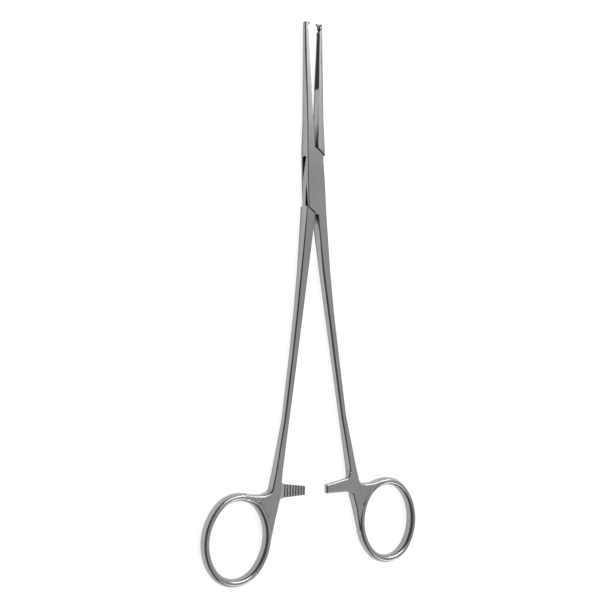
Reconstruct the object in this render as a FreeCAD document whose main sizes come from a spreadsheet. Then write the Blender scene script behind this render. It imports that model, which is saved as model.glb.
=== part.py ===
import FreeCAD
import Part
import Sketcher
import math
import os
import re

# Straight box-lock locking forceps with one-into-two tip teeth.
# Frame: Y runs to the jaw tips, X across the finger rings, Z up through the thickness.
# Origin: pivot axis on the back face of the box, so the instrument lies on z = 0.
# Each forging is drawn closed about its mid-plane, then turned by half the opening.

os.makedirs("parts", exist_ok=True)
doc = FreeCAD.newDocument("Forceps")
V = FreeCAD.Vector
across = V(1, 0, 0)
through = V(0, 0, 1)

# Sizes in millimetres, angles in degrees
sheet = doc.addObject("Spreadsheet::Sheet", "Sizes")
rows = [
    ("opening", "4.7", "angle between the halves as drawn"),
    ("margin", "1", "how far a cutting shape runs past the metal"),
    ("box_thickness", "5.0", "front face of the box to its back face"),
    ("box_top_width", "6.55", "box width at the jaw end"),
    ("box_mid_width", "7.45", "box width over the pivot"),
    ("box_low_width", "7.65", "box width at the shank end"),
    ("box_round", "0.58", "rounding of the long edges of the box"),
    ("shoulder_y", "12.2", "shoulders over the pivot, on the centre line"),
    ("shoulder_angle", "37", "slope of the shoulders"),
    ("shoulder_gap", "0.06", "gap at the shoulders when closed"),
    ("slot_height", "2.4", "height of the slot in the box"),
    ("slot_clearance", "0.06", "tongue to each wall of the slot"),
    ("slot_land", "0.5", "end of the slot below the shoulder, on the centre line"),
    ("pin_diameter", "3.2", "rivet"),
    ("pin_clearance", "0.05", "bore of the tongue over the rivet, on the radius"),
    ("jaw_length", "58.5", "pivot to the jaw tips"),
    ("jaw_gap", "0.03", "each jaw face to the centre plane when closed"),
    ("jaw_relief", "0.22", "faces behind the serrations to the centre plane"),
    ("jaw_round", "0.75", "rounding of the outer jaw edges over the box"),
    ("jaw_flat", "0.2", "half the flat left between the outer roundings of the jaws near the tip"),
    ("low_station", "22.5", "jaw section over the box"),
    ("low_width", "2.66", "jaw section over the box"),
    ("low_thickness", "4.2", "jaw section over the box"),
    ("serration_start", "34.3", "lower end of the serrated faces"),
    ("mid_width", "2.25", "jaw at the lower end of the serrations"),
    ("mid_thickness", "3.6", "jaw at the lower end of the serrations"),
    ("high_station", "46.5", "jaw section half way along the serrations"),
    ("high_width", "2.0", "jaw section half way along the serrations"),
    ("high_thickness", "2.7", "jaw section half way along the serrations"),
    ("tip_width", "1.5", "jaw section at the tip"),
    ("tip_thickness", "2.2", "jaw section at the tip"),
    ("serration_pitch", "0.85", "grooves across the jaw faces"),
    ("serration_depth", "0.32", "grooves across the jaw faces"),
    ("serration_crest", "0.12", "flat left between two grooves"),
    ("single_height", "0.9", "single tip tooth over the centre plane"),
    ("pair_height", "0.7", "the two opposite tip teeth over the centre plane"),
    ("single_width", "0.8", "single tip tooth, through the thickness"),
    ("tooth_length", "2.1", "tip teeth along the jaw"),
    ("tooth_land", "0.25", "blunt end of the tip teeth"),
    ("tooth_root", "0.3", "tip teeth sunk into the jaw face"),
    ("tooth_clearance", "0.12", "room round each tip tooth"),
    ("throat_depth", "0.6", "hollow behind the tip teeth"),
    ("throat_length", "1.1", "bottom of that hollow back to the jaw face"),
    ("shank_gap", "0.2", "shank to the centre plane at the box"),
    ("root_round", "0.22", "rounding of the inner shank edges at the box"),
    ("neck_station", "32.5", "shank section below the box"),
    ("neck_x", "3.3", "its middle from the centre plane"),
    ("neck_width", "3.4", "shank section below the box"),
    ("neck_thickness", "3.9", "shank section below the box"),
    ("upper_station", "47.5", "upper shank section"),
    ("upper_x", "4.6", "its middle from the centre plane"),
    ("upper_width", "2.9", "upper shank section"),
    ("upper_thickness", "3.5", "upper shank section"),
    ("middle_station", "66", "middle shank section"),
    ("middle_x", "6.35", "its middle from the centre plane"),
    ("middle_width", "2.6", "middle shank section"),
    ("middle_thickness", "3.3", "middle shank section"),
    ("waist_station", "86", "slimmest shank section"),
    ("waist_x", "8.45", "its middle from the centre plane"),
    ("waist_width", "2.4", "slimmest shank section"),
    ("waist_thickness", "3.1", "slimmest shank section"),
    ("shank_round", "1.0", "rounding of the shank edges"),
    ("ring_x", "26.2", "ring centre from the centre plane when closed"),
    ("ring_y", "127.0", "ring centre below the pivot"),
    ("ring_hole_length", "26.4", "finger hole along the instrument"),
    ("ring_hole_width", "20.8", "finger hole across"),
    ("ring_end_radius", "8.85", "ends of the finger hole; its sides are tangent arcs"),
    ("ring_band", "2.72", "band of the ring, seen from the front"),
    ("ring_thickness", "4.3", "band of the ring, through the thickness"),
    ("ring_turn", "2.3", "turn of the long axis of the ring"),
    ("heel_rise", "22.5", "shank end section over the ring centre"),
    ("heel_inset", "15.05", "its middle inward of the ring centre"),
    ("heel_width", "3.0", "shank end section"),
    ("palm_thickness", "3.9", "flat palm that joins shank, arm and ring"),
    ("palm_round", "0.8", "rounding of the palm"),
    ("palm_rise", "14.2", "palm section over the ring centre"),
    ("palm_inset", "13.95", "its middle inward of the ring centre"),
    ("palm_width", "4.3", "palm section"),
    ("flare_rise", "6.0", "flare along the inner side of the ring"),
    ("flare_inset", "12.33", "its middle inward of the ring centre"),
    ("flare_width", "3.65", "flare section"),
    ("flare_drop", "5.0", "lower end of the flare below the ring centre"),
    ("flare_end_inset", "11.65", "its middle inward of the ring centre"),
    ("flare_end_width", "1.65", "lower end of the flare, inside the band of the ring"),
    ("flare_end_thickness", "2.4", "lower end of the flare, inside the band of the ring"),
    ("yoke_height", "2.6", "band from the ring top into the shank, seen from the front"),
    ("yoke_round", "1.1", "rounding of that band"),
    ("yoke_step", "0.1", "that band below the faces it runs into"),
    ("yoke_top_inset", "2.0", "its start inward of the ring centre"),
    ("yoke_top_rise", "14.35", "its start over the ring centre"),
    ("yoke_mid_inset", "6.2", "its middle inward of the ring centre"),
    ("yoke_rise", "13.6", "its middle and end over the ring centre"),
    ("yoke_end_inset", "13.0", "its end inward of the ring centre"),
    ("web_rise", "18.5", "top of the web over the ring centre, in the palm"),
    ("valley_inset", "12.9", "valley between shank and ring inward of the ring centre, at the shank"),
    ("valley_rise", "17.5", "its start over the ring centre"),
    ("valley_mid_inset", "11.6", "bend of the valley inward of the ring centre"),
    ("valley_mid_rise", "15.6", "bend of the valley over the ring centre"),
    ("valley_end_inset", "9.2", "end of the valley inward of the ring centre, at the ring"),
    ("valley_end_rise", "14.9", "end of the valley over the ring centre"),
    ("web_step", "0.04", "web below the palm, both faces together"),
    ("web_inset", "11.3", "lower end of the web inward of the ring centre"),
    ("web_bevel", "0.7", "bevel along the front and back edges of the web"),
    ("arm_level", "111.75", "middle of the ratchet arm below the pivot, at its end"),
    ("arm_overlap", "0.6", "arm end past the centre plane when closed"),
    ("arm_reach", "10.2", "arm end to the inner side of the shank"),
    ("arm_flare_reach", "12.6", "arm end to the inner side of the flare"),
    ("arm_end_height", "3.2", "arm seen from the front, at its end"),
    ("arm_root_height", "4.6", "arm seen from the front, at its root"),
    ("arm_rise", "0.3", "middle of the root over the middle of the end"),
    ("arm_fillet_top", "2.4", "arm into the shank"),
    ("arm_fillet_low", "4.8", "arm into the flare"),
    ("arm_bevel", "0.4", "bevel along the outer edges of the arm"),
    ("arm_gap", "0.2", "between the two arms where they pass"),
    ("ratchet_pitch", "1.12", "saw teeth on the arms"),
    ("ratchet_depth", "0.42", "saw teeth on the arms"),
    ("ratchet_land", "0.25", "end of the arm to the first saw tooth"),
    ("ratchet_teeth", "8", "saw teeth on each arm"),
]
for number, (alias, value, note) in enumerate(rows, start=1):
    sheet.set("A%d" % number, alias)
    sheet.set("B%d" % number, value)
    sheet.set("C%d" % number, note)
    sheet.setAlias("B%d" % number, alias)
doc.recompute()

# Rounded forms are made of flats, each turned by the same angle from the next
corner_points = 4
flat_turn = 90 / corner_points

words = re.compile("|".join(r"\b%s\b" % alias for alias, value, note in rows))


def value_of(expression):
    return float(sheet.evalExpression(expression))


def bind(item, path, expression):
    item.setExpression(path, words.sub(lambda found: "Sizes." + found.group(0), expression))


def add(kind, name, **bound):
    item = doc.addObject(kind, name)
    for path, expression in bound.items():
        bind(item, path, expression)
    return item


def origin_of(owner, role):
    return next(f for f in owner.Origin.OriginFeatures if f.Role == role)


def sketch_on(owner, name, role, offset):
    item = owner.newObject("Sketcher::SketchObject", name)
    item.AttachmentSupport = [(origin_of(owner, role), "")]
    item.MapMode = "FlatFace"
    bind(item, "AttachmentOffset.Base.z", offset)
    return item


def hold(sketch, kind, *arguments, size):
    """A driving dimension of the sketch, bound to an expression."""
    index = sketch.addConstraint(Sketcher.Constraint(kind, *arguments, value_of(size)))
    bind(sketch, "Constraints[%d]" % index, size)


def hold_x(sketch, line, point, place):
    if value_of(place) < 0:
        hold(sketch, "DistanceX", line, point, -1, 1, size="-(" + place + ")")
    else:
        hold(sketch, "DistanceX", -1, 1, line, point, size=place)


def hold_y(sketch, line, point, place):
    if value_of(place) < 0:
        hold(sketch, "DistanceY", line, point, -1, 1, size="-(" + place + ")")
    else:
        hold(sketch, "DistanceY", -1, 1, line, point, size=place)


def arc(x, y, radius, quarter):
    """Quarter circle about (x, y); quarter 0 is the upper right one, and they count round to the left."""
    circle = Part.Circle(V(x, y, 0), through, radius)
    return Part.ArcOfCircle(circle, quarter * 0.5 * math.pi, (quarter + 1) * 0.5 * math.pi)


def line(x0, y0, x1, y1):
    return Part.LineSegment(V(x0, y0, 0), V(x1, y1, 0))


def polygon(sketch, points):
    """Closed polygon; every coordinate is bound."""
    spots = [(value_of(x), value_of(y)) for x, y in points]
    count = len(spots)
    for index in range(count):
        sketch.addGeometry(line(*spots[index], *spots[(index + 1) % count]), False)
    for index in range(count):
        sketch.addConstraint(Sketcher.Constraint("Coincident", index, 2, (index + 1) % count, 1))
    for index, (x, y) in enumerate(points):
        hold_x(sketch, index, 1, x)
        hold_y(sketch, index, 1, y)


def corner(side_x, side_y, radius, quarter):
    """Points that round a corner in flats; quarters count as for the arc."""
    points = []
    for step in range(corner_points):
        turn = math.radians((quarter * corner_points + step + 0.5) * flat_turn)
        across_flats = math.cos(math.radians(flat_turn / 2))
        x = math.cos(turn) / across_flats - math.copysign(1, math.cos(turn))
        y = math.sin(turn) / across_flats - math.copysign(1, math.sin(turn))
        points.append(("%s + (%s) * %.6f" % (side_x, radius, x), "%s + (%s) * %.6f" % (side_y, radius, y)))
    return points


def section(owner, name, station, left, right, thickness, left_round, right_round, role="XZ_Plane"):
    """Rounded rectangle, its middle on the mid-plane; left and right are its two sides."""
    sketch = sketch_on(owner, name, role, station)
    front = "(%s) / 2" % thickness
    back = "-(%s) / 2" % thickness
    polygon(sketch, corner(right, front, right_round, 0) + corner(left, front, left_round, 1)
            + corner(left, back, left_round, 2) + corner(right, back, right_round, 3))
    return sketch


def half_round(owner, name, station, outer, inner, thickness, rounding):
    """Bar section left of the centre plane: flat inner face, rounded outer side."""
    sketch = sketch_on(owner, name, "XZ_Plane", station)
    front = "(%s) / 2" % thickness
    back = "-(%s) / 2" % thickness
    polygon(sketch, [(inner, back), (inner, front)]
            + corner(outer, front, rounding, 1) + corner(outer, back, rounding, 2))
    return sketch


def loft(owner, name, sections):
    item = owner.newObject("PartDesign::AdditiveLoft", name)
    item.Profile = sections[0]
    item.Sections = sections[1:]
    item.Ruled = True
    item.Closed = False
    return item


def outline(owner, name, points):
    sketch = sketch_on(owner, name, "XY_Plane", "0")
    polygon(sketch, points)
    return sketch


def pad(owner, name, sketch, length, midplane=True):
    item = owner.newObject("PartDesign::Pad", name)
    item.Profile = sketch
    item.Midplane = midplane
    bind(item, "Length", length)
    return item


def bevel(owner, name, base, faces, size):
    """Bevels every edge of the chosen flat faces, given by their height."""
    doc.recompute()
    chosen = []
    for number, face in enumerate(base.Shape.Faces, start=1):
        at_height = any(abs(face.CenterOfMass.z - z) < 0.001 for z in faces)
        if abs(face.normalAt(0, 0).z) > 0.999 and at_height:
            chosen.append("Face%d" % number)
    item = owner.newObject("PartDesign::Chamfer", name)
    item.Base = (base, chosen)
    bind(item, "Size", size)
    return item


def prism(name, points, height):
    owner = doc.addObject("PartDesign::Body", name)
    pad(owner, name + "Pad", outline(owner, name + "Outline", points), height)
    return owner


def fuse(name, *shapes):
    item = doc.addObject("Part::MultiFuse", name)
    item.Shapes = list(shapes)
    return item


def cut(name, base, tool):
    item = doc.addObject("Part::Cut", name)
    item.Base = base
    item.Tool = tool
    return item


def common(name, base, tool):
    item = doc.addObject("Part::MultiCommon", name)
    item.Shapes = [base, tool]
    return item


def mirrored(name, source, normal):
    item = doc.addObject("Part::Mirroring", name)
    item.Source = source
    item.Base = V(0, 0, 0)
    item.Normal = normal
    return item


# Jaw blank: half-round bar on the left of the centre plane, tapering to the tip
jaw = doc.addObject("PartDesign::Body", "JawBlank")


def jaw_section(name, station, width, thickness, rounding):
    return half_round(jaw, name, "-(" + station + ")", "-(" + width + ")", "-jaw_gap", thickness, rounding)


loft(jaw, "JawLoft", [
    jaw_section("JawRootSection", "shoulder_y", "box_top_width / 2", "box_thickness", "box_round"),
    jaw_section("JawLowSection", "low_station", "low_width", "low_thickness", "jaw_round"),
    jaw_section("JawMidSection", "serration_start", "mid_width", "mid_thickness", "jaw_round"),
    jaw_section("JawHighSection", "high_station", "high_width", "high_thickness",
                "high_thickness / 2 - jaw_flat"),
    jaw_section("JawTipSection", "jaw_length", "tip_width", "tip_thickness",
                "tip_thickness / 2 - jaw_flat"),
])
doc.recompute()

# Relieved face between the box and the serrations
relief = outline(jaw, "ReliefOutline", [
    ("-jaw_relief", "shoulder_y - margin"),
    ("margin", "shoulder_y - margin"),
    ("margin", "serration_start"),
    ("-jaw_relief", "serration_start"),
])
relief_cut = jaw.newObject("PartDesign::Pocket", "Relief")
relief_cut.Profile = relief
relief_cut.Midplane = True
bind(relief_cut, "Length", "box_thickness * 2")
doc.recompute()

# Serrations: V grooves across the jaw face up to the throat behind the tip teeth
groove_middle = "serration_start + serration_pitch / 2"
groove_slope = "(serration_pitch - serration_crest) / (2 * serration_depth)"
groove_spread = "(serration_depth + jaw_gap + margin) * " + groove_slope
groove = outline(jaw, "GrooveOutline", [
    ("-jaw_gap - serration_depth", groove_middle),
    ("margin", groove_middle + " - " + groove_spread),
    ("margin", groove_middle + " + " + groove_spread),
])
groove_cut = jaw.newObject("PartDesign::Pocket", "Groove")
groove_cut.Profile = groove
groove_cut.Midplane = True
bind(groove_cut, "Length", "box_thickness * 2")
doc.recompute()
serrations = jaw.newObject("PartDesign::LinearPattern", "Serrations")
serrations.Originals = [groove_cut]
serrations.Direction = (origin_of(jaw, "Y_Axis"), [""])
serrations.Mode = "Spacing"
bind(serrations, "Offset", "serration_pitch")
bind(serrations, "Occurrences",
     "floor((jaw_length - tooth_length - throat_length - serration_start) / serration_pitch)")
jaw.Tip = serrations
doc.recompute()

# Box blank: the full section of the lock, between the two shoulder heights
box = doc.addObject("PartDesign::Body", "BoxBlank")
box_sections = [
    section(box, "Box" + name, station, "-" + width + " / 2", width + " / 2", "box_thickness",
            "box_round", "box_round")
    for name, station, width in (
        ("Top", "-shoulder_y", "box_top_width"),
        ("Mid", "0", "box_mid_width"),
        ("Low", "shoulder_y", "box_low_width"),
    )
]
loft(box, "BoxLoft", box_sections)

# Shank blank: slim bar that bows out to the finger ring, then a flare along the ring
shank = doc.addObject("PartDesign::Body", "ShankBlank")


def shank_section(name, station, middle, width, thickness, rounding):
    return section(shank, name, station, middle + " - " + width + " / 2", middle + " + " + width + " / 2",
                   thickness, rounding, rounding)


heel = shank_section("HeelSection", "ring_y - heel_rise", "ring_x - heel_inset", "heel_width",
                     "palm_thickness", "palm_round")
loft(shank, "ShankLoft", [
    section(shank, "ShankRootSection", "shoulder_y", "shank_gap", "box_low_width / 2", "box_thickness",
            "root_round", "box_round"),
] + [
    shank_section(stem.title() + "Section", stem + "_station", stem + "_x", stem + "_width",
                  stem + "_thickness", "shank_round")
    for stem in ("neck", "upper", "middle", "waist")
] + [heel])
loft(shank, "FlareLoft", [
    heel,
    shank_section("PalmSection", "ring_y - palm_rise", "ring_x - palm_inset", "palm_width",
                  "palm_thickness", "palm_round"),
    shank_section("FlareSection", "ring_y - flare_rise", "ring_x - flare_inset", "flare_width",
                  "palm_thickness", "palm_round"),
    shank_section("FlareEndSection", "ring_y + flare_drop", "ring_x - flare_end_inset",
                  "flare_end_width", "flare_end_thickness", "palm_round"),
])

# Yoke: the band of the ring runs on from its top into the shank
yoke = doc.addObject("PartDesign::Body", "YokeBlank")


def yoke_section(name, inset, level, thickness):
    return section(yoke, name, "ring_x - " + inset, level + " - yoke_height / 2 - ring_y",
                   level + " + yoke_height / 2 - ring_y", thickness, "yoke_round", "yoke_round", "YZ_Plane")


loft(yoke, "YokeLoft", [
    yoke_section("YokeTopSection", "yoke_top_inset", "yoke_top_rise", "ring_thickness - yoke_step"),
    yoke_section("YokeMidSection", "yoke_mid_inset", "yoke_rise", "ring_thickness - yoke_step"),
    yoke_section("YokeEndSection", "yoke_end_inset", "yoke_rise", "palm_thickness - yoke_step"),
])

# Web: flat fill in the valley between shank and ring, and behind the yoke
web_height = "palm_thickness - web_step"
web = prism("Web", [
    ("ring_x - heel_inset", "web_rise - ring_y"),
    ("ring_x - valley_inset", "valley_rise - ring_y"),
    ("ring_x - valley_mid_inset", "valley_mid_rise - ring_y"),
    ("ring_x - valley_end_inset", "valley_end_rise - ring_y"),
    ("ring_x - yoke_mid_inset", "yoke_rise - ring_y"),
    ("ring_x - web_inset", "flare_rise - ring_y"),
    ("ring_x - palm_inset", "palm_rise - ring_y"),
], web_height)
bevel(web, "WebBevel", web.Tip, (value_of(web_height) / 2, value_of(web_height) / -2), "web_bevel")

# Finger ring: oval band, two tight end arcs and two wide side arcs about four centres
half_length = "((ring_hole_length + ring_band) / 2)"
half_width = "((ring_hole_width + ring_band) / 2)"
end_radius = "(ring_end_radius + ring_band / 2)"
side_radius = "((%s ^ 2 + %s ^ 2 - 2 * %s * %s) / (2 * (%s - %s)))" % (
    half_length, half_width, half_length, end_radius, half_width, end_radius)
end_centre = "(%s - %s)" % (half_length, end_radius)
side_centre = "(%s - %s)" % (half_width, side_radius)
meeting = "(atan(-%s / %s) / 1 deg)" % (end_centre, side_centre)

def band_side(turn):
    """Distance of the flat that faces this way from the middle of the oval section."""
    return "sqrt((ring_band / 2 * cos(%g deg)) ^ 2 + (ring_thickness / 2 * sin(%g deg)) ^ 2)" % (turn, turn)


def band_arc(name, middle, along, centre, angle):
    """One arc of the band: its many-sided section turned both ways about its centre."""
    sketch = doc.addObject("Sketcher::SketchObject", name + "Section")
    upright = FreeCAD.Rotation(along, through, along.cross(through), "XYZ")
    sketch.Placement = FreeCAD.Placement(V(0, 0, 0), upright)
    turns = [side * flat_turn for side in range(4 * corner_points)]
    polygon(sketch, [
        ("%s + (%s * sin(%g deg) - %s * sin(%g deg)) / sin(%g deg)" % (
            middle, band_side(turn), turn + flat_turn, band_side(turn + flat_turn), turn, flat_turn),
         "(%s * cos(%g deg) - %s * cos(%g deg)) / sin(%g deg)" % (
            band_side(turn + flat_turn), turn, band_side(turn), turn + flat_turn, flat_turn))
        for turn in turns
    ])
    arc = doc.addObject("Part::Revolution", name)
    arc.Source = sketch
    arc.Axis = through
    arc.Solid = True
    arc.Symmetric = True
    bind(arc, "Base." + ("y" if along.y else "x"), centre)
    bind(arc, "Angle", angle)
    return arc


end_arc = band_arc("RingEnd", half_length, V(0, 1, 0), end_centre, "180 - 2 * " + meeting)
side_arc = band_arc("RingSide", half_width, across, side_centre, "2 * " + meeting)
ring = fuse("FingerRing", end_arc, side_arc, mirrored("RingLowEnd", end_arc, V(0, 1, 0)),
            mirrored("RingInnerSide", side_arc, across))
ring.Placement = FreeCAD.Placement(V(0, 0, 0), FreeCAD.Rotation(V(0, 0, 1), -1))
bind(ring, "Placement.Base.x", "ring_x")
bind(ring, "Placement.Base.y", "-ring_y")
bind(ring, "Placement.Rotation.Angle", "ring_turn")

# Ratchet arm: half the palm thickness, saw teeth on the face towards the mid-plane
arm = doc.addObject("PartDesign::Body", "ArmBlank")
arm_sketch = sketch_on(arm, "ArmOutline", "XY_Plane", "arm_gap / 2")
tip_x = value_of("-arm_overlap")
palm_x = value_of("arm_reach - arm_overlap")
top_end = value_of("arm_end_height / 2 - arm_level")
low_end = value_of("-arm_end_height / 2 - arm_level")
top_root = value_of("arm_root_height / 2 + arm_rise - arm_level")
low_root = value_of("-arm_root_height / 2 + arm_rise - arm_level")
top_round = value_of("arm_fillet_top")
low_round = value_of("arm_fillet_low")
flare_x = value_of("arm_flare_reach - arm_overlap")
deep_x = value_of("arm_flare_reach - arm_overlap + margin")
arm_sketch.addGeometry([
    line(tip_x, low_end, tip_x, top_end),
    line(tip_x, top_end, palm_x - top_round, top_root),
    arc(palm_x - top_round, top_root + top_round, top_round, 3),
    line(palm_x, top_root + top_round, deep_x, top_root + top_round),
    line(deep_x, top_root + top_round, deep_x, low_root - low_round),
    line(deep_x, low_root - low_round, flare_x, low_root - low_round),
    arc(flare_x - low_round, low_root - low_round, low_round, 0),
    line(flare_x - low_round, low_root, tip_x, low_end),
], False)
for first, end, second, start in ((0, 2, 1, 1), (2, 2, 3, 1), (3, 2, 4, 1), (4, 2, 5, 1), (5, 2, 6, 1),
                                  (7, 2, 0, 1)):
    arm_sketch.addConstraint(Sketcher.Constraint("Coincident", first, end, second, start))
arm_sketch.addConstraint(Sketcher.Constraint("Tangent", 1, 2, 2, 1))
arm_sketch.addConstraint(Sketcher.Constraint("Tangent", 6, 2, 7, 1))
arm_sketch.addConstraint(Sketcher.Constraint("Horizontal", 2, 3, 2, 2))
arm_sketch.addConstraint(Sketcher.Constraint("Horizontal", 6, 3, 6, 1))
for side in (0, 4):
    arm_sketch.addConstraint(Sketcher.Constraint("Vertical", side))
for side in (3, 5):
    arm_sketch.addConstraint(Sketcher.Constraint("Horizontal", side))
hold(arm_sketch, "Radius", 2, size="arm_fillet_top")
hold(arm_sketch, "Radius", 6, size="arm_fillet_low")
hold_x(arm_sketch, 0, 1, "-arm_overlap")
hold_x(arm_sketch, 2, 2, "arm_reach - arm_overlap")
hold_x(arm_sketch, 6, 1, "arm_flare_reach - arm_overlap")
hold_x(arm_sketch, 4, 1, "arm_flare_reach - arm_overlap + margin")
hold_y(arm_sketch, 0, 1, "-arm_end_height / 2 - arm_level")
hold_y(arm_sketch, 0, 2, "arm_end_height / 2 - arm_level")
hold_y(arm_sketch, 2, 2, "arm_root_height / 2 + arm_rise + arm_fillet_top - arm_level")
hold_y(arm_sketch, 6, 1, "arm_rise - arm_root_height / 2 - arm_fillet_low - arm_level")
arm_pad = pad(arm, "ArmPad", arm_sketch, "(palm_thickness - arm_gap) / 2", midplane=False)
bevel(arm, "ArmBevel", arm_pad, (value_of("palm_thickness / 2"),), "arm_bevel")
doc.recompute()
saw = sketch_on(arm, "SawOutline", "XZ_Plane", "arm_level")
saw_start = "ratchet_land - arm_overlap"
polygon(saw, [
    (saw_start, "0"),
    (saw_start + " + ratchet_pitch", "0"),
    (saw_start + " + ratchet_pitch", "arm_gap / 2"),
    (saw_start, "arm_gap / 2 + ratchet_depth"),
])
saw_cut = arm.newObject("PartDesign::Pocket", "Saw")
saw_cut.Profile = saw
saw_cut.Midplane = True
bind(saw_cut, "Length", "arm_root_height * 2 + arm_fillet_low * 2")
doc.recompute()
ratchet = arm.newObject("PartDesign::LinearPattern", "Ratchet")
ratchet.Originals = [saw_cut]
ratchet.Direction = (origin_of(arm, "X_Axis"), [""])
ratchet.Mode = "Spacing"
bind(ratchet, "Offset", "ratchet_pitch")
bind(ratchet, "Occurrences", "ratchet_teeth")
arm.Tip = ratchet
doc.recompute()

# Lock of the box half: both shoulders cut away and the slot for the tongue
reach = "(box_low_width / 2 + margin)"
fall = "tan(shoulder_angle * 1 deg)"
skew = "(shoulder_gap / cos(shoulder_angle * 1 deg))"
upper_notch = prism("UpperNotch", [
    ("0", "shoulder_y"),
    (reach, "shoulder_y - %s * %s" % (reach, fall)),
    (reach, "shoulder_y + margin"),
    ("0", "shoulder_y + margin"),
], "box_thickness * 2")
lower_notch = prism("LowerNotch", [
    ("0", "-shoulder_y"),
    ("-" + reach, "%s * %s - shoulder_y" % (reach, fall)),
    ("-" + reach, "-shoulder_y - margin"),
    ("0", "-shoulder_y - margin"),
], "box_thickness * 2")
slot_side = "shoulder_y - slot_land - %s * %s" % (reach, fall)
slot = prism("Slot", [
    ("-" + reach, slot_side),
    ("0", "shoulder_y - slot_land"),
    ("0", "shoulder_y + margin"),
    (reach, "shoulder_y + margin"),
    (reach, "-(%s)" % slot_side),
    ("0", "slot_land - shoulder_y"),
    ("0", "-shoulder_y - margin"),
    ("-" + reach, "-shoulder_y - margin"),
], "slot_height")
box_lock = cut("BoxLock", box, fuse("BoxLockCuts", upper_notch, lower_notch, slot))

# Lock of the tongue half: two shoulders of full thickness joined by the thin tongue
upper_shoulder = prism("UpperShoulder", [
    ("jaw_relief", "shoulder_y + %s - jaw_relief * %s" % (skew, fall)),
    (reach, "shoulder_y + %s - %s * %s" % (skew, reach, fall)),
    (reach, "shoulder_y + margin"),
    ("jaw_relief", "shoulder_y + margin"),
], "box_thickness * 2")
lower_shoulder = prism("LowerShoulder", [
    ("-shank_gap", "shank_gap * %s - shoulder_y - %s" % (fall, skew)),
    ("-" + reach, "%s * %s - shoulder_y - %s" % (reach, fall, skew)),
    ("-" + reach, "-shoulder_y - margin"),
    ("-shank_gap", "-shoulder_y - margin"),
], "box_thickness * 2")
tongue_side = "shoulder_y - slot_land - slot_clearance * 2 - %s * %s" % (reach, fall)
tongue_top = "shoulder_y - slot_land - slot_clearance * 2"
tongue = prism("Tongue", [
    ("-" + reach, tongue_side),
    ("0", tongue_top),
    ("margin", "shoulder_y"),
    (reach, "shoulder_y - (%s - margin) * %s" % (reach, fall)),
    (reach, "-(%s)" % tongue_side),
    ("0", "-(%s)" % tongue_top),
    ("-margin", "-shoulder_y"),
    ("-" + reach, "(%s - margin) * %s - shoulder_y" % (reach, fall)),
], "slot_height - slot_clearance * 2")
tongue_lock = common("TongueLock", box, fuse("TongueLockStock", upper_shoulder, lower_shoulder, tongue))

# Tips: a throat behind the teeth, two teeth against one, and room for the opposite teeth
tip = "jaw_length"
rise = "(tooth_length - tooth_land)"


def flank(height, level):
    """Height along the jaw of the sloping underside of a tip tooth."""
    share = "(%s + throat_depth) / (%s + throat_depth)" % (level, height)
    return "(%s - tooth_length + %s * %s)" % (tip, share, rise)


def tooth_profile(height):
    return [
        ("-tooth_root", flank(height, "-tooth_root")),
        (height, flank(height, height)),
        (height, tip),
        ("-tooth_root", tip),
    ]


def recess_profile(height):
    depth = "(%s + tooth_clearance)" % height
    return [
        ("-" + depth, tip + " + margin"),
        ("-" + depth, flank(height, height) + " - tooth_clearance"),
        ("tooth_root", flank(height, "-tooth_root") + " - tooth_clearance * 2"),
        ("tooth_root", tip + " + margin"),
    ]


throat = prism("Throat", [
    ("-throat_depth", tip + " - tooth_length"),
    ("tooth_root", flank("single_height", "tooth_root")),
    ("tooth_root", tip + " - tooth_length - throat_length * 1.5"),
    ("-jaw_gap", tip + " - tooth_length - throat_length"),
], "box_thickness * 2")
room = "single_width + tooth_clearance * 2"
single_tooth = prism("SingleTooth", tooth_profile("single_height"), "single_width")
tooth_stock = prism("ToothStock", tooth_profile("pair_height"), "tip_thickness")
pair_space = prism("PairSpace", [
    ("-margin", tip + " - tooth_length * 2"),
    ("margin", tip + " - tooth_length * 2"),
    ("margin", tip + " + margin"),
    ("-margin", tip + " + margin"),
], room)
pair_teeth = cut("PairTeeth", tooth_stock, pair_space)
side_stock = prism("SideStock", recess_profile("pair_height"), "box_thickness")
side_space = prism("SideSpace", [
    ("-margin", tip + " - tooth_length * 2"),
    ("margin", tip + " - tooth_length * 2"),
    ("margin", tip + " + margin"),
    ("-margin", tip + " + margin"),
], "single_width")
side_recess = cut("SideRecess", side_stock, side_space)
centre_recess = prism("CentreRecess", recess_profile("single_height"), room)
single_stock = cut("SingleJawStock", jaw, fuse("SingleJawCuts", throat, side_recess))
single_jaw = fuse("SingleJaw", single_stock, single_tooth)
pair_stock = cut("PairJawStock", jaw, fuse("PairJawCuts", throat, centre_recess))
pair_jaw = fuse("PairJaw", pair_stock, pair_teeth)

# The two forgings; the second is the mirror image outside the lock, with its arm at the back
grip = fuse("Grip", shank, yoke, web, ring)
grip.Refine = False
arm_behind = mirrored("ArmBehind", mirrored("ArmTurned", arm, across), through)
plate_bore = add("Part::Cylinder", "PlateBore", Radius="pin_diameter / 2", Height="box_thickness * 2")
bind(plate_bore, "Placement.Base.z", "-box_thickness")
tongue_bore = add("Part::Cylinder", "TongueBore", Radius="pin_diameter / 2 + pin_clearance",
                  Height="box_thickness * 2")
bind(tongue_bore, "Placement.Base.z", "-box_thickness")
box_half = cut("BoxHalf", fuse("BoxHalfStock", pair_jaw, box_lock, grip, arm), plate_bore)
tongue_half = cut(
    "TongueHalf",
    fuse("TongueHalfStock", mirrored("SingleJawTurned", single_jaw, across), tongue_lock,
         mirrored("GripTurned", grip, across), arm_behind),
    tongue_bore,
)
for half, turn in ((box_half, "opening / 2"), (tongue_half, "-opening / 2")):
    bind(half, "Placement.Rotation.Angle", turn)
    bind(half, "Placement.Base.z", "box_thickness / 2")

# Rivet, ground flush with both faces of the box
pivot_pin = add("Part::Cylinder", "PivotPin", Radius="pin_diameter / 2", Height="box_thickness")

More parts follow.
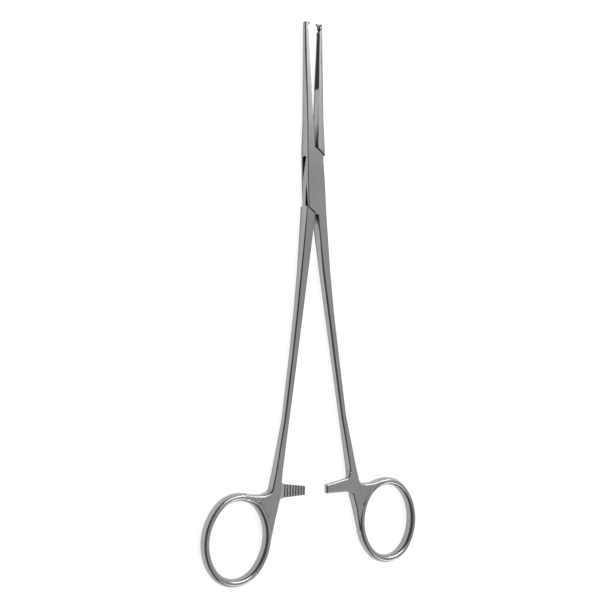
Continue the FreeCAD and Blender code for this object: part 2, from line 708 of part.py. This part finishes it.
parts = {"box_half": box_half, "tongue_half": tongue_half, "pivot_pin": pivot_pin}
for label, item in parts.items():
    item.Label = label
doc.recompute()
for item in doc.Objects:
    if "Invalid" in item.State or "Error" in item.State:
        raise RuntimeError("failed: " + item.Name)
for label, item in parts.items():
    shape = item.Shape
    if shape.isNull() or not shape.isValid() or len(shape.Solids) != 1:
        raise RuntimeError("bad shape: %s, %d solids" % (label, len(shape.Solids)))
    shape.exportStep("parts/%s.step" % label)
    bounds = shape.optimalBoundingBox()
    print(label, round(shape.Volume, 1), [round(v, 2) for v in (
        bounds.XMin, bounds.XMax, bounds.YMin, bounds.YMax, bounds.ZMin, bounds.ZMax)])
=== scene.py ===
import math

import bmesh
import bpy
from mathutils import Matrix, Vector


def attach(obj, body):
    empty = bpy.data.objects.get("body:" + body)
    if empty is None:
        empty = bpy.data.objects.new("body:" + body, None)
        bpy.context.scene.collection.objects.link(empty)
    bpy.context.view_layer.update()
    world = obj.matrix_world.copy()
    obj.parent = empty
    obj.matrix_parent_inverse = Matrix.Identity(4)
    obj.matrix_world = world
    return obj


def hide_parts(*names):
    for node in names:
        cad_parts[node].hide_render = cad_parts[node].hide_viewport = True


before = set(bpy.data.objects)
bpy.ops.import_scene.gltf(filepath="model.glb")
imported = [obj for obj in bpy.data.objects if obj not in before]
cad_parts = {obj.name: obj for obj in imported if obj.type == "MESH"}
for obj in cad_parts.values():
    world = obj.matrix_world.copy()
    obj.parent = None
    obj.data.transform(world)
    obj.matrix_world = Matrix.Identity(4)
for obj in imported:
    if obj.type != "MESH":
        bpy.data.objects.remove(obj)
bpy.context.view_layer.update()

# Box half: left jaw, the box with its slot, right shank, ratchet arm and finger ring.
# One drop forging in surgical stainless steel, blasted with fine beads, then brushed lightly
# along its length. Its milled edges are broken by hand and catch the light.


class Socket:
    """One output of a node; the operators add Math nodes."""

    def __init__(self, finish, out):
        self.finish = finish
        self.out = out

    def _math(self, operation, *values):
        sides = dict(enumerate(values))
        return self.finish.node("ShaderNodeMath", {"operation": operation}, sides)

    def __add__(self, other):
        return self._math("ADD", self, other)

    __radd__ = __add__

    def __sub__(self, other):
        return self._math("SUBTRACT", self, other)

    def __rsub__(self, other):
        return self._math("SUBTRACT", other, self)

    def __mul__(self, other):
        return self._math("MULTIPLY", self, other)

    __rmul__ = __mul__


class Finish:
    """A material under construction."""

    def __init__(self, name):
        self.material = bpy.data.materials.new(name)
        self.material.use_nodes = True
        self.nodes = self.material.node_tree.nodes
        self.links = self.material.node_tree.links
        self.shader = self.nodes["Principled BSDF"]

    def feed(self, socket, value):
        if isinstance(value, Socket):
            self.links.new(value.out, socket)
        else:
            socket.default_value = value

    def node(self, kind, settings, values, output=0):
        made = self.nodes.new(kind)
        for key, value in settings.items():
            if key == "stops":
                for stop, (position, colour) in zip(made.color_ramp.elements, value):
                    stop.position = position
                    stop.color = colour
            else:
                setattr(made, key, value)
        for key, value in values.items():
            self.feed(made.inputs[key], value)
        return Socket(self, made.outputs[output])

    def set(self, **values):
        for key, value in values.items():
            self.feed(self.shader.inputs[key.replace("_", " ")], value)


cloud_scale = 55.0
bead_scale = 5200.0
brush_scale = 4200.0
brush_stretch = (1.0, 0.06, 1.0)
grain_height = 0.00003
darkest_tone = 0.9
lightest_tone = 1.08
dark_stop = 0.36
light_stop = 0.64
cloud_gloss = 0.12
brush_gloss = 0.06
crevice_reach = 0.0022
crevice_samples = 8


def satin_steel(name, shade, roughness, grain, edge=1.0, painted_crevice_shade=1.0):
    """Blasted and brushed steel; edge dims the glancing gloss, and the last argument sets how much
    shade is painted into the crevices.
    """
    finish = Finish(name)
    place = finish.node("ShaderNodeTexCoord", {}, {}, "Object")
    cloud = finish.node("ShaderNodeTexNoise", {},
                        {"Vector": place, "Scale": cloud_scale, "Detail": 3.0})
    bead = finish.node("ShaderNodeTexNoise", {},
                       {"Vector": place, "Scale": bead_scale, "Detail": 2.0})
    along = finish.node("ShaderNodeMapping", {}, {"Vector": place, "Scale": brush_stretch})
    brush = finish.node("ShaderNodeTexNoise", {},
                        {"Vector": along, "Scale": brush_scale, "Detail": 3.0})
    tone = cloud * 0.55 + bead * 0.25 + brush * 0.2
    dark = tuple(channel * darkest_tone for channel in shade) + (1.0,)
    light = tuple(min(1.0, channel * lightest_tone) for channel in shade) + (1.0,)
    colour = finish.node("ShaderNodeValToRGB", {"stops": [(dark_stop, dark), (light_stop, light)]},
                         {"Fac": tone})
    # Painted shade: the colour is darkened where ambient occlusion finds close surfaces, in
    # crevices and between parts.
    crevice = finish.node("ShaderNodeAmbientOcclusion", {"samples": crevice_samples},
                          {"Distance": crevice_reach}, "AO")
    shaded = finish.node("ShaderNodeVectorMath", {"operation": "SCALE"},
                         {"Vector": colour, "Scale": 1.0 - painted_crevice_shade + painted_crevice_shade * crevice * crevice})
    height = bead * 0.6 + brush * 0.4
    bump = finish.node("ShaderNodeBump", {},
                       {"Strength": grain, "Distance": grain_height, "Height": height})
    uneven = roughness + cloud_gloss * (cloud - 0.5) + brush_gloss * (brush - 0.5)
    finish.set(Base_Color=shaded, Metallic=1.0, Roughness=uneven,
               Specular_Tint=(edge, edge, edge, 1.0), Normal=bump)
    return finish.material


serration_start = 0.0343
serration_lean = 0.4
saw_level = -0.1118
saw_height = 0.003
saw_near = 0.004
saw_far = 0.0145
saw_middle = 0.0025
saw_depth = 0.0006
edge_break = 0.00006
edge_room = 4
weld = 0.000001
flat_turn = math.radians(0.4)
sharp_turn = math.radians(30)
steels = [
    satin_steel("satin_steel_finish", (0.34, 0.343, 0.345), 0.22, 0.35),
    # Dark copy of the satin steel with dimmed glancing gloss: painted shade on the serrated jaw
    # faces turned to the other jaw.
    satin_steel("serrated_steel_painted_shade", (0.07, 0.07, 0.071), 0.34, 0.5, 0.6),
    # Rougher steel for the saw teeth, its colour painted lighter than the rest as painted light,
    # and with no painted crevice shade.
    satin_steel("ratchet_steel_painted_light", (0.43, 0.433, 0.436), 0.5, 0.35, 1.0, 0.0),
]


def is_milled(edge):
    """Sharp outer edge with enough room on both sides for its rounding."""
    if edge.calc_face_angle(0.0) <= sharp_turn or not edge.is_convex:
        return False
    least = edge_room * edge_break * edge.calc_length()
    return min(face.calc_area() for face in edge.link_faces) > least


def steel_of(face):
    """Place in the list of steels: the jaw serrations turned to the other jaw, which carry painted
    shade, the saw teeth of the arm, or the rest.
    """
    middle = face.calc_center_median()
    on_arm = saw_near < abs(middle.x) < saw_far and abs(middle.y - saw_level) < saw_height
    # The saw teeth get the lighter steel, a painted light.
    if on_arm and abs(middle.z - saw_middle) < saw_depth:
        return 2
    turned_in = middle.x * face.normal.x < 0 and abs(face.normal.x) > serration_lean
    return 1 if turned_in and middle.y > serration_start else 0


def forging(name, node, body):
    """The node's own form, with its milled edges broken and its curved faces smooth."""
    shape = bmesh.new()
    shape.from_mesh(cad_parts[node].data)
    bmesh.ops.remove_doubles(shape, verts=shape.verts, dist=weld)
    bmesh.ops.dissolve_limit(shape, angle_limit=flat_turn, verts=shape.verts, edges=shape.edges)
    milled = [edge for edge in shape.edges if is_milled(edge)]
    bmesh.ops.bevel(shape, geom=milled, offset=edge_break, segments=2, profile=0.5, affect="EDGES",
                    clamp_overlap=False, material=-1)
    for face in shape.faces:
        face.smooth = True
        face.material_index = steel_of(face)
    for edge in shape.edges:
        edge.smooth = edge.calc_face_angle(0.0) < sharp_turn
    mesh = bpy.data.meshes.new(name)
    for steel in steels:
        mesh.materials.append(steel)
    shape.to_mesh(mesh)
    shape.free()
    piece = bpy.data.objects.new(name, mesh)
    bpy.context.scene.collection.objects.link(piece)
    weights = piece.modifiers.new("weights", "WEIGHTED_NORMAL")
    weights.keep_sharp = True
    weights.weight = 50
    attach(piece, body)
    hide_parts(node)


forging("box_half_forging", "box_half", "female_half")

# Tongue half: right jaw, the tongue that passes through the slot, left shank, arm and ring.
# The mate of the first forging, from the same steel and finished with it as a pair.

forging("tongue_half_forging", "tongue_half", "male_half")

# Rivet: steel pin peened into both plates of the box and ground flush.
# Its ends are a shade smoother than the forging, so only a faint ring shows.

rivet_steel = satin_steel("rivet_steel_finish", (0.345, 0.348, 0.35), 0.2, 0.3)
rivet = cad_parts["pivot_pin"]
rivet.data.materials.clear()
rivet.data.materials.append(rivet_steel)

# Floor: a plain white light table under the instrument, which glows a little by itself.
# It is only the setting, and isn't part of the object.

floor_dark = (0.28, 0.28, 0.28, 1.0)
floor_light = (0.32, 0.32, 0.32, 1.0)
floor_roughness = 0.9
floor_glow = 0.87
floor_cloud_scale = 3.0
floor_half_width = 3.0
floor_mesh = bpy.data.meshes.new("floor")
floor_shape = bmesh.new()
bmesh.ops.create_grid(floor_shape, x_segments=1, y_segments=1, size=floor_half_width)
floor_shape.to_mesh(floor_mesh)
floor_shape.free()
floor = bpy.data.objects.new("floor", floor_mesh)
bpy.context.scene.collection.objects.link(floor)
pale = Finish("pale_floor")
floor_place = pale.node("ShaderNodeTexCoord", {}, {}, "Object")
floor_cloud = pale.node("ShaderNodeTexNoise", {},
                        {"Vector": floor_place, "Scale": floor_cloud_scale})
floor_colour = pale.node("ShaderNodeValToRGB", {"stops": [(0.0, floor_dark), (1.0, floor_light)]},
                         {"Fac": floor_cloud})
pale.set(Base_Color=floor_colour, Roughness=floor_roughness, Emission_Color=(1.0, 1.0, 1.0, 1.0),
         Emission_Strength=floor_glow)
floor_mesh.materials.append(pale.material)

# Light: soft boxes over the light table, with the room dark on the left.
# The wide one overhead fills the front faces, the one past the tips lights the jaws, the low one
# the flanks on the right, and the far and near strips draw the bright lines round the rings.

light_distance = 1.6
room_light = 0.13


def soft_box(name, direction, width, length, radiance):
    lamp = bpy.data.lights.new(name, "AREA")
    lamp.shape = "RECTANGLE"
    lamp.size = width
    lamp.size_y = length
    lamp.energy = radiance * math.pi * width * length
    box = bpy.data.objects.new(name, lamp)
    back = Vector(direction).normalized()
    side = Vector((0.0, 1.0, 0.0)).cross(back).normalized()
    turn = Matrix((side, back.cross(side), back)).transposed().to_4x4()
    box.matrix_world = Matrix.Translation(back * light_distance) @ turn
    bpy.context.scene.collection.objects.link(box)


soft_box("overhead_box", (0.32, 0.0, 0.947), 1.8, 2.6, 0.58)
soft_box("head_box", (0.16, 0.5, 0.85), 1.7, 0.56, 1.45)
soft_box("low_box", (0.97, 0.1, 0.22), 0.7, 2.4, 1.4)
soft_box("far_box", (0.3, 0.8, 0.5), 1.9, 0.6, 4.6)
soft_box("near_box", (0.42, -0.8, 0.4), 1.6, 0.5, 4.8)

world = bpy.data.worlds.new("studio")
bpy.context.scene.world = world
world.use_nodes = True
background = world.node_tree.nodes["Background"]
background.inputs["Color"].default_value = (1.0, 1.0, 1.0, 1.0)
background.inputs["Strength"].default_value = room_light
bpy.context.scene.view_settings.view_transform = "Standard"

# Camera: where the photograph was taken from, left of the instrument and a little low.
# Its place, turn and lens were fitted to the outline of the whole instrument.

camera_place = (-0.16476, -0.05371, 0.27656)
yaw = -0.52547
pitch = 0.03293
roll = -0.00433
camera_data = bpy.data.cameras.new("camera")
camera_data.sensor_width = 36.0
camera_data.lens = 52.8
camera = bpy.data.objects.new("camera", camera_data)
camera.matrix_world = (
    Matrix.Translation(camera_place)
    @ Matrix.Rotation(yaw, 4, "Y")
    @ Matrix.Rotation(pitch, 4, "X")
    @ Matrix.Rotation(roll, 4, "Z")
)
bpy.context.scene.collection.objects.link(camera)
bpy.context.scene.camera = camera
